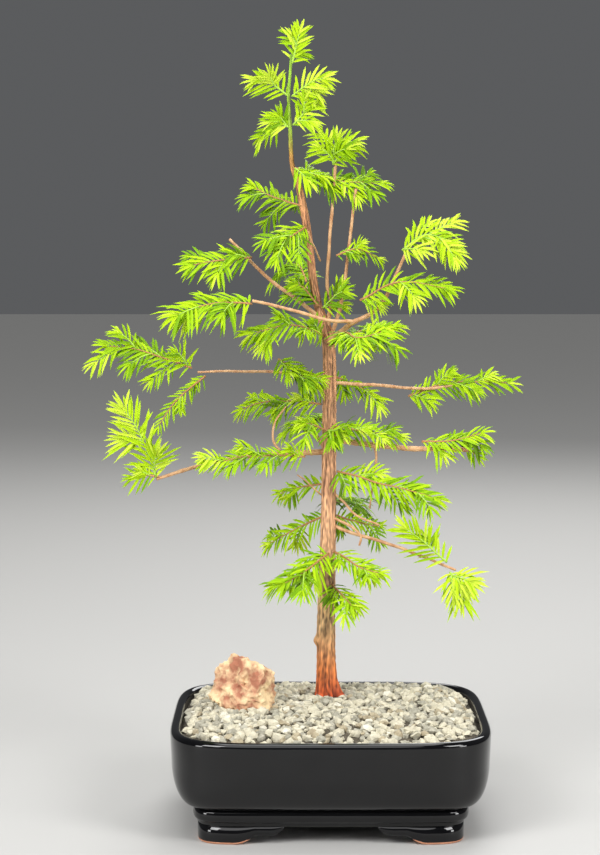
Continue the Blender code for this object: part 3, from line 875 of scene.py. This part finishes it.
@dataclass(frozen=True)
class Spray:
    """One spray: its stem's line, the way its flat side looks, its needles' length and green."""

    line: Points
    facing: Points
    needle: float
    green: Green


@dataclass(frozen=True)
class Clump:
    """One mass of foliage: its node, its line, its size across, and how it grows.

    A forked one grows from its middle out to both ends, and the others from near to far.
    """

    node: str
    near: tuple
    middle: tuple
    far: tuple
    tall: float
    deep: float
    needle: float = 12.5
    shoots: int = 5
    tilt: float = 35.0
    green: Green = Green.BRIGHT
    forked: bool = False
    tip_room: float = 0.8
    steps: int = 60
    arch: float = 0.14
    wander: float = 0.6
    lean: tuple = (26, 50)
    roll: float = 60
    droop: tuple = (0.08, 0.3)
    bend_run: float = 30.0
    tilt_spread: float = 14
    shoot_range: tuple = (0.06, 0.85)
    shoot_steps: int = 14
    reach_spread: tuple = (0.75, 1.15)
    needle_spread: tuple = (0.8, 1.0)

    def arms(self) -> list:
        """The lines that the clump grows along: from near to far, or from its middle to both.

        Returns:
            Lines of points, each one cut short of its tip to leave room for needles.
        """
        if self.forked:
            root = np.array(self.middle, float)
            lines = []
            for tip in (np.array(self.near, float), np.array(self.far, float)):
                between = 0.5 * (root + tip) + (0.0, 0.0, self.arch * np.linalg.norm(tip - root))
                lines.append(smooth_line((root, between, tip), self.steps))
        else:
            lines = [smooth_line((self.near, self.middle, self.far), self.steps)]
        trimmed = []
        for line in lines:
            left = np.linalg.norm(line - line[-1], axis=1)
            trimmed.append(line[: max(12, int((left > self.tip_room * self.needle).sum()))])
        return trimmed

    def reach(self) -> float:
        """How far a side shoot runs, so that its needles end near the clump's outline."""
        return max(5.0, 0.25 * (self.tall + self.deep) - 0.25 * self.needle)

    def facing(self, draw: np.random.Generator) -> Points:
        """The way the clump's flat sides look: to the front, tipped up, and a little uneven."""
        tip = math.radians(self.tilt + draw.uniform(-self.tilt_spread, self.tilt_spread))
        return np.array([draw.uniform(-0.2, 0.2), -math.cos(tip), math.sin(tip)])

    def grow(self, draw: np.random.Generator) -> list:
        """Grows the clump's sprays from its line by a seeded rule.

        Each side shoot leaves the line in turn to one side and the other, leans forward,
        reaches as far as the clump is wide there, and droops at its tip.

        Args:
            draw: the source of chance.

        Returns:
            The sprays, the main one first.
        """
        sprays = []
        arms = self.arms()
        for arm, spine in enumerate(arms):
            bends = [random_waves(spine, int(draw.integers(999)), self.bend_run) for _ in range(3)]
            spine = spine + self.wander * np.stack(bends, 1)
            facing = self.facing(draw)
            forward, normal, side = frames_along(spine, facing)
            sprays.append(Spray(spine[3:], facing, self.needle, self.green))
            count = self.shoots // len(arms) + (arm < self.shoots % len(arms))
            for number in range(count):
                place = (number + 0.6 + draw.uniform(-0.2, 0.2)) / (count + 0.6)
                start = int(np.clip(place, *self.shoot_range) * (len(spine) - 1))
                lean = math.radians(draw.uniform(*self.lean))
                roll = math.radians(draw.uniform(-self.roll, self.roll))
                sign = 1 if number % 2 else -1
                way = forward[start] * math.cos(lean) + math.sin(lean) * (
                    sign * math.cos(roll) * side[start] + math.sin(roll) * normal[start]
                )
                wide = 0.55 + 0.9 * math.sin(math.pi * (0.2 + 0.6 * place))
                length = self.reach() * draw.uniform(*self.reach_spread) * wide
                t = np.linspace(0, 1, self.shoot_steps)[:, None]
                droop = np.array([0, 0, -draw.uniform(*self.droop) * length])
                line = spine[start] + way * length * t + droop * t**2
                step = int(draw.integers(-1, 2))
                shade = Green(min(max(self.green.value + step, 0), len(Green) - 1))
                needle = self.needle * draw.uniform(*self.needle_spread)
                sprays.append(Spray(line, self.facing(draw), needle, shade))
        return sprays


@dataclass
class Needles:
    """All needles of a group of clumps: each one a folded, tapering, bent blade."""

    name: str
    clumps: tuple
    seed: int
    spacing: float = 1.45
    width: float = 1.6
    longer: float = 1.18
    tips: int = 5
    angles: tuple = (56, 28)
    angle_spread: float = 8
    tip_angles: tuple = (4, 40)
    tip_spread: float = 5
    length_spread: tuple = (0.72, 1.08)
    usual_length: float = 11.0
    lift: tuple = (0.10, 0.16)
    shades: tuple = (0.15, 0.6, 0.25)
    sections: tuple = ((0.0, 0.45), (0.3, 1.0), (0.72, 0.82), (1.0, 0.0))
    bend: float = 0.20
    sag: float = 0.18
    fold: float = 0.25
    stem_base: float = 0.62
    stem_tip: float = 0.28
    main_stem: float = 1.3
    stem_sides: int = 6

    def on_spray(self, spray: Spray, draw: np.random.Generator) -> list:
        """Deals needles along one spray in two ranks, with a small fan at its tip.

        Args:
            spray: the spray.
            draw: the source of chance.

        Returns:
            Arrays of bases, ways, normals, lengths and greens.
        """
        forward, normal, side = frames_along(spray.line, spray.facing)
        steps = np.linalg.norm(np.diff(spray.line, axis=0), axis=1)
        walked = np.concatenate([[0.0], np.cumsum(steps)]) / steps.sum()
        count = max(10, int(steps.sum() / self.spacing))
        tips, (wide, closing) = self.tips, self.angles
        t = np.concatenate([(np.arange(count) + 0.5) / count, np.ones(tips)])
        row = np.interp(t, walked, np.arange(len(walked)))
        low = np.minimum(row.astype(int), len(walked) - 2)
        part = (row - low)[:, None]
        base = spray.line[low] * (1 - part) + spray.line[low + 1] * part
        sign = np.where(np.arange(count + tips) % 2, 1.0, -1.0)
        angle = np.radians(wide - closing * t + draw.normal(0, self.angle_spread, count + tips))
        fan = np.linspace(*self.tip_angles, tips)
        angle[-tips:] = np.radians(fan + draw.normal(0, self.tip_spread, tips))
        lift = draw.normal(*self.lift, count + tips)
        way = (
            forward[low] * np.cos(angle)[:, None]
            + side[low] * (sign * np.sin(angle))[:, None]
            + normal[low] * lift[:, None]
        )
        length = self.longer * spray.needle * (0.50 + 0.55 * np.sin(math.pi * (0.12 + 0.74 * t)))
        length *= draw.uniform(*self.length_spread, count + tips)
        shade = np.full(count + tips, spray.green.value)
        shade += draw.choice((-1, 0, 1), count + tips, p=self.shades)
        shade[-tips:] += 1
        return [base, unit(way), normal[low], length, np.clip(shade, 0, len(Green) - 1)]

    def blades(self, base: Points, way: Points, normal: Points, length: Points) -> tuple[Points, Points]:
        """Turns needles to blades: three rows across, folded along the middle, and a point.

        Args:
            base: where each needle starts.
            way: where it points.
            normal: the way its top looks.
            length: how long it is.

        Returns:
            Ten points and ten triangles for each needle.
        """
        across = unit(np.cross(normal, way))
        up = np.cross(way, across)
        rows = []
        for t, wide in self.sections:
            bend = -self.bend * length * t**2
            middle = base + way * (length * t)[:, None] + up * bend[:, None]
            middle = middle + np.array([0, 0, -1.0]) * (self.sag * length * t**2)[:, None]
            half = 0.5 * self.width * wide * np.clip(length / self.usual_length, 0.6, 1.15)
            out, raised = across * half[:, None], middle + up * self.fold * half[:, None]
            rows += [raised - out, middle, raised + out] if wide else [middle]
        points = np.stack(rows, axis=1)
        faces = []
        for row in (0, 3):
            for k in (0, 1):
                a = row + k
                faces += [(a, a + 1, a + 4), (a, a + 4, a + 3)]
        faces += [(6, 7, 9), (7, 8, 9)]
        offset = points.shape[1] * np.arange(len(base))[:, None, None]
        return points.reshape(-1, 3), (np.array(faces)[None] + offset).reshape(-1, 3)

    def build(self, greens: list, stem_finishes: list) -> None:
        """Adds the needles and the green and brown stems that carry them.

        Args:
            greens: the needle materials, one per green.
            stem_finishes: the stem materials, brown and green.
        """
        draw = np.random.default_rng(self.seed)
        rows, stems, kinds = [], [], []
        for clump in self.clumps:
            for number, spray in enumerate(clump.grow(draw)):
                rows.append(self.on_spray(spray, draw))
                line = spray.line[::3]
                thick = self.stem_base * (1.0 if number else self.main_stem)
                stems.append(tube(line, np.linspace(thick, self.stem_tip, len(line)), self.stem_sides))
                brown = number == 0 and spray.green is not Green.FRESH
                kinds.append(np.full(len(stems[-1][1]), 0 if brown else 1))
        base, way, normal, length, shade = (np.concatenate(column) for column in zip(*rows))
        points, faces = self.blades(base, way, normal, length)
        nodes = sorted({clump.node for clump in self.clumps})
        shade = np.repeat(shade, len(faces) // len(base))
        add_piece(self.name, points, faces.tolist(), greens, nodes, shade, False)
        points, faces = joined(stems)
        kinds = np.concatenate(kinds)
        add_piece(self.name + "_stems", points, faces, stem_finishes, [], kinds)


LEAF, FRESH = Green.LEAF, Green.FRESH

UPPER = (
    Clump("mass_top_tuft", (-25, 24, 479), (-21, 24, 493), (-17, 23, 510), 22, 20, 14, 2, 0, FRESH),
    Clump(
        "mass_leader_high", (-58, 20, 469), (-26, 24, 459), (7, 28, 471),
        18, 22, 14, 2, 25, FRESH, forked=True,
    ),
    Clump(
        "mass_leader_low", (-47, 20, 440), (-25, 24, 440), (-1, 28, 456),
        22, 24, 13, 4, 25, FRESH, forked=True,
    ),
    Clump("mass_crest_up", (2, 18, 414.5), (3, 15, 428), (8, 12, 442), 31, 28, 15, 5, 10, FRESH),
    Clump("mass_crest_tier", (-25, 12, 415), (0, 22, 407), (43, 34, 404), 18, 32, 13, 9, 40),
    Clump("mass_leader_left", (-16, 21, 390), (-37, 36, 396), (-56, 44, 407), 24, 28, 13, 4, 30),
    Clump("mass_leader_front", (-14.5, 23.5, 378), (-25, 6, 370), (-42, 0, 359), 22, 38, 13, 4),
    Clump(
        "mass_fork_collar", (-29, 14, 343), (-6, 22, 324), (17, 10, 337),
        19, 28, 12, 5, 35, LEAF, forked=True,
    ),
    Clump("mass_stem_spray", (2, 14, 358), (18, 11, 363), (37, 12, 353), 8, 18, 9, 2),
    Clump("mass_left_stub", (-48, 10, 357), (-73, 2, 356), (-98, -6, 350), 20, 32, 14, 3),
    Clump("mass_left_drooping", (-46, -14, 329), (-76, -26, 329), (-107, -32, 317), 28, 38, 19, 4),
    Clump("mass_left_under", (-1.5, 21.5, 306), (-25, -4, 315), (-60, -8, 307), 17, 30, 14, 4),
    Clump("mass_front_fan", (8, 3, 311), (18, -34, 309), (50, -24, 318), 20, 42, 14, 5),
    Clump("mass_right_upper", (43, -16, 361), (60, -20, 372), (84, -24, 363), 32, 34, 14, 5, 30, FRESH),
    Clump("mass_right_lower", (15, -8, 330), (44, -18, 342), (82, -30, 337), 20, 32, 14, 4),
    # The masses at the back get the darker LEAF green: painted shade.
    Clump("mass_back_upper", (-14, 62, 340), (-22, 84, 353), (-34, 112, 343), 24, 44, 13, 7, 60, LEAF),
    Clump("mass_back_right", (2, 28, 303), (24, 64, 308), (38, 96, 299), 22, 44, 13, 8, 60, LEAF),
)

LOWER = (
    Clump("mass_left_long", (-86, 41, 284), (-121, 42, 295), (-157, 46, 301), 32, 34, 14, 6),
    Clump("mass_left_hanging", (-79, 39, 282), (-98, 34, 266), (-115, 28, 243), 10, 14, 8, 2, 20),
    Clump("mass_left_shoot", (-109, -7, 215), (-121, -9, 248), (-140, -10, 275), 36, 24, 20, 2, 5, FRESH),
    Clump("mass_left_shoot", (-107, -6, 219), (-119, -8, 220), (-134, -10, 217), 8, 12, 11, 1, 5),
    Clump("mass_left_low", (-12, 10, 231), (-51, 0, 231), (-88, -6, 226), 20, 32, 12, 5),
    Clump("mass_left_riser", (-1, 23, 263), (-39, 36, 264), (-65, 44, 255), 16, 24, 12, 3),
    Clump("mass_left_tier", (-1, 23, 211), (-23, 36, 206), (-38, 46, 198), 13, 22, 11, 2),
    Clump("mass_left_lowest", (-1, 23, 191), (-25, 38, 178), (-46, 50, 163), 20, 26, 12, 3),
    Clump("mass_lowest_front", (1, 16, 167), (-18, -8, 158), (-39, -16, 148), 24, 34, 14, 5),
    Clump("mass_trunk_upper", (-34, 16, 294), (-19, 11, 283), (-2, 14, 270), 20, 28, 12, 4),
    Clump("mass_trunk_front", (-24, 6, 249), (-2, 20, 246), (12, 4, 240), 16, 36, 13, 4, forked=True),
    Clump("mass_right_long", (48, 38, 266), (84, 44, 276), (129, 50, 274), 20, 32, 13, 4),
    Clump("mass_right_near", (1, 23, 281), (20, 40, 273), (37, 50, 261), 17, 28, 12, 3),
    Clump("mass_right_middle", (1, 22, 249), (30, 16, 245), (53, 12, 243), 13, 26, 11, 4),
    Clump("mass_right_end", (57, 13, 240), (80, 10, 241), (107, 2, 249), 19, 28, 13, 3),
    Clump("mass_right_end", (86, 10, 235), (91, 9, 233), (100, 8, 226), 8, 10, 9, 0, 5),
    Clump("mass_right_fork", (1, 23, 220), (41, 4, 212), (76, -8, 202), 23, 34, 13, 5),
    Clump("mass_right_inner", (1, 23, 192), (24, 40, 182), (41, 54, 178), 15, 26, 11, 3),
    Clump("mass_right_shoot", (75, -14, 164), (57, -14, 180), (38, -14, 196), 24, 22, 17, 1, 5, FRESH),
    Clump("mass_right_tuft", (75, -14, 160), (80, -21, 155), (86, -30, 145), 28, 30, 16, 3, 20, FRESH),
    Clump("mass_right_lowest", (1, 23, 168), (20, 2, 160), (40, -8, 156), 17, 26, 12, 3),
    Clump("mass_lowest_fan", (0, 23, 147), (11, -2, 139), (18, -14, 131), 17, 26, 12, 3),
    # The masses at the back get the darker LEAF green: painted shade.
    Clump("mass_back_middle", (2, 60, 249), (-14, 92, 247), (-28, 120, 236), 24, 46, 13, 7, 60, LEAF),
    Clump("mass_back_low", (2, 28, 199), (14, 60, 194), (24, 92, 182), 22, 44, 13, 8, 60, LEAF),
)


@dataclass
class Foliage:
    """The crown: its upper and lower needles, in five plain greens dealt out by spray."""

    greens: dict = field(
        default_factory=lambda: {
            Green.DEEP: (0.085, 0.17, 0.003),
            Green.LEAF: (0.155, 0.32, 0.003),
            Green.BRIGHT: (0.27, 0.47, 0.004),
            Green.FRESH: (0.37, 0.57, 0.005),
            Green.PALE: (0.50, 0.66, 0.04),
        }
    )
    roughness: float = 0.55
    gloss: float = 0.12
    brown: Finish = Finish("twig_brown", (0.42, 0.20, 0.07), 0.6)
    shoot: Finish = Finish("twig_green", (0.36, 0.58, 0.06), 0.5)

    def build(self) -> None:
        """Adds both groups of needles with their stems."""
        greens = []
        for green in Green:
            name = "needle_" + green.name.lower()
            greens.append(Finish(name, self.greens[green], self.roughness, gloss=self.gloss).material())
        stems = [self.brown.material(), self.shoot.material()]
        for group in (Needles("needles_upper", UPPER, 31), Needles("needles_lower", LOWER, 32)):
            group.build(greens, stems)


@dataclass
class Studio:
    """The floor, the lights and the camera at the photograph's angle."""

    camera_place: tuple = (-19.1, -1323.0, 375.0)
    pitch: float = 5.4
    focal_pixels: float = 2092.0
    image_height: float = 855.0
    sensor: float = 36.0
    floor_size: float = 8.0
    floor_paint: Finish = Finish("floor_paint", (0.46, 0.455, 0.44), 0.7)
    world_colour: tuple = (0.80, 0.82, 0.85)
    world_strength: float = 0.13
    sun_strength: float = 1.0
    sun_angle: float = 40.0
    sun_tilt: float = 38.0
    sun_turn: float = -14.0
    target: tuple = (0.0, 0.0, 0.22)
    clip_end: float = 30.0
    lights: tuple = (
        ("key_left", (-1.1, -1.3, 1.35), 0.8, 28.0),
        ("key_right", (1.2, -1.1, 1.2), 0.7, 22.0),
        ("top", (0.0, 0.1, 1.9), 1.0, 16.0),
        ("back", (0.4, 1.5, 1.3), 0.9, 14.0),
        ("strip_left", (-1.1, -0.8, 0.3), 0.3, 4.0),
        ("strip_right", (1.1, -0.8, 0.3), 0.3, 4.0),
    )

    def build(self) -> None:
        """Adds the floor, the world's light, the soft lamps and the camera."""
        scene = bpy.context.scene
        size = self.floor_size
        mesh = bpy.data.meshes.new("floor")
        corners = [(-size, -size, 0), (size, -size, 0), (size, size, 0), (-size, size, 0)]
        mesh.from_pydata(corners, [], [(0, 1, 2, 3)])
        mesh.materials.append(self.floor_paint.material())
        add_object("floor", mesh)
        world = bpy.data.worlds.new("studio")
        world.use_nodes = True
        background = world.node_tree.nodes["Background"]
        set_inputs(background, {"Color": (*self.world_colour, 1.0), "Strength": self.world_strength})
        scene.world = world
        scene.view_settings.view_transform = "Standard"
        target = Vector(self.target)
        for name, place, width, power in self.lights:
            lamp = bpy.data.lights.new(name, "AREA")
            lamp.size = width
            lamp.energy = power
            holder = add_object(name, lamp)
            holder.location = place
            holder.rotation_euler = (target - Vector(place)).to_track_quat("-Z", "Y").to_euler()
        sun = bpy.data.lights.new("sky", "SUN")
        sun.energy = self.sun_strength
        sun.angle = math.radians(self.sun_angle)
        holder = add_object("sky", sun)
        holder.rotation_euler = (math.radians(self.sun_tilt), 0.0, math.radians(self.sun_turn))
        lens = bpy.data.cameras.new("camera")
        lens.sensor_fit = "VERTICAL"
        lens.sensor_height = self.sensor
        lens.lens = self.focal_pixels / self.image_height * self.sensor
        lens.clip_end = self.clip_end
        camera = add_object("camera", lens)
        camera.location = Vector(self.camera_place) * METRES + Vector(POT_MIDDLE)
        camera.rotation_euler = (math.radians(90.0 - self.pitch), 0.0, 0.0)
        scene.camera = camera


def main() -> None:
    """Builds every piece in order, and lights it."""
    logging.basicConfig(level=logging.INFO, format="%(message)s")
    for part in (Studio(), Pot(), Bed(), Stone(), Wood(), Foliage()):
        part.build()


if __name__ == "__main__":
    main()
